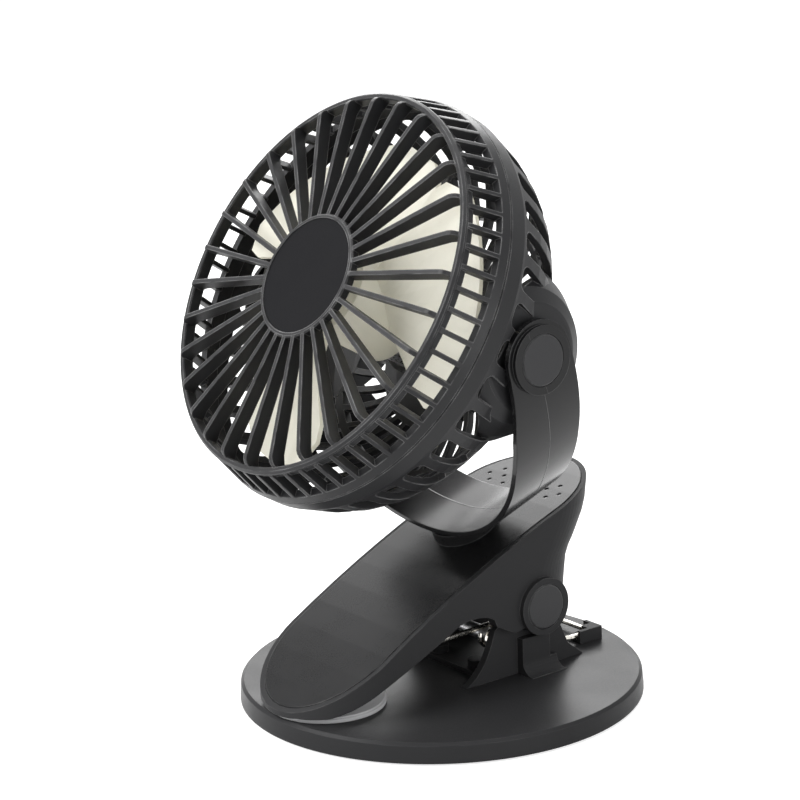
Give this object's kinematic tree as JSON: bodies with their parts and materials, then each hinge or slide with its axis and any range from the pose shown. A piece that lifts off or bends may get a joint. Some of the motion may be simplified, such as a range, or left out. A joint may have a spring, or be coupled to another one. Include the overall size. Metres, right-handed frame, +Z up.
{
  "type": "portable clamp fan",
  "caption": "Battery fan on a spring clamp: slotted round head tilts in a yoke that swivels on a clamp hinged to a round base.",
  "frame": {"origin": "middle of the base on the plane the feet stand on", "axes": "+Z up, the fan blows towards -Y and up, the hinge and tilt axes run along X"},
  "size_m": [0.1432, 0.1483, 0.2056],
  "materials": {
    "base_plastic": "satin, fine texture",
    "body_plastic": "fine matt texture",
    "shell_plastic": "fine matt texture",
    "gloss_plastic": "polished",
    "cap_plastic": "matt",
    "blade_plastic": "milky, slightly see-through",
    "spring_wire": "drawn and nickel plated",
    "steel": "zinc plated",
    "silicone": "soft, light grey",
    "rubber": "matt",
    "battery_wrap": "foil pouch",
    "board": "solder mask",
    "lamp": "smoked light pipe",
    "nylon": "natural nylon",
    "bronze": "sintered",
    "rotor_copper": "enamelled windings on laminations"
  },
  "bodies": {
    "base": {"base_disc": "base_plastic", "base_plate": "base_plastic", "ballast_plate": "steel", "rubber_feet": "rubber", "base_screws": "steel", "hinge_bracket": "body_plastic", "bracket_screws": "steel", "spring_catches": "body_plastic", "spring_rod": "steel", "torsion_spring": "spring_wire", "hinge_pin": "steel", "base_pad": "silicone"},
    "spring_arm": {"spring_arms": "spring_wire"},
    "clamp": {"clamp_body": "body_plastic", "face_plate": "gloss_plastic", "face_screws": "steel", "jaw_pad": "rubber", "hinge_caps": "body_plastic", "battery": "battery_wrap", "control_board": "board", "usb_socket": "steel", "indicator_lamps": "lamp"},
    "button": {"power_button": "cap_plastic"},
    "yoke": {"yoke": "gloss_plastic", "swivel_washer": "steel", "swivel_screw": "steel", "pivot_caps": "cap_plastic", "friction_washers": "nylon", "pivot_screws": "steel"},
    "head": {"rear_housing": "shell_plastic", "front_grille": "shell_plastic", "hub_disc": "shell_plastic", "back_cap": "shell_plastic", "motor_can": "steel", "motor_end_cap": "nylon", "motor_bushings": "bronze", "motor_screws": "steel"},
    "rotor": {"impeller": "blade_plastic", "motor_shaft": "steel", "motor_rotor": "rotor_copper"}
  },
  "joints": [
    {"name": "clamp_open", "type": "hinge", "parent": "base", "child": "clamp", "pos_m": [0, 0.0235, 0.0309], "axis": [-1, 0, 0], "range_deg": [0, 22], "stiffness_Nm_per_rad": 1.2, "springref_deg": -28.65},
    {"name": "spring_follow", "type": "hinge", "parent": "base", "child": "spring_arm", "pos_m": [0, 0.0115, 0.0196], "axis": [-1, 0, 0], "range_deg": [0, 27]},
    {"name": "yoke_swivel", "type": "hinge", "parent": "clamp", "child": "yoke", "pos_m": [0, 0.00941, 0.06338], "axis": [0, -0.3502, 0.9367], "range_deg": [-170, 170]},
    {"name": "head_tilt", "type": "hinge", "parent": "yoke", "child": "head", "pos_m": [0, -0.0123, 0.13], "axis": [-1, 0, 0], "range_deg": [-30, 95]},
    {"name": "fan_spin", "type": "hinge", "parent": "head", "child": "rotor", "pos_m": [0, -0.0123, 0.13], "axis": [0, -0.8599, 0.5105], "continuous": true},
    {"name": "button_press", "type": "slide", "parent": "clamp", "child": "button", "axis": [0, 0.3042, -0.9526], "range_m": [0, 0.0008], "stiffness_N_per_m": 900, "springref_m": -0.0004}
  ],
  "couplings": [
    {"joint": "spring_follow", "follows": "clamp_open", "ratio": 1.2}
  ]
}
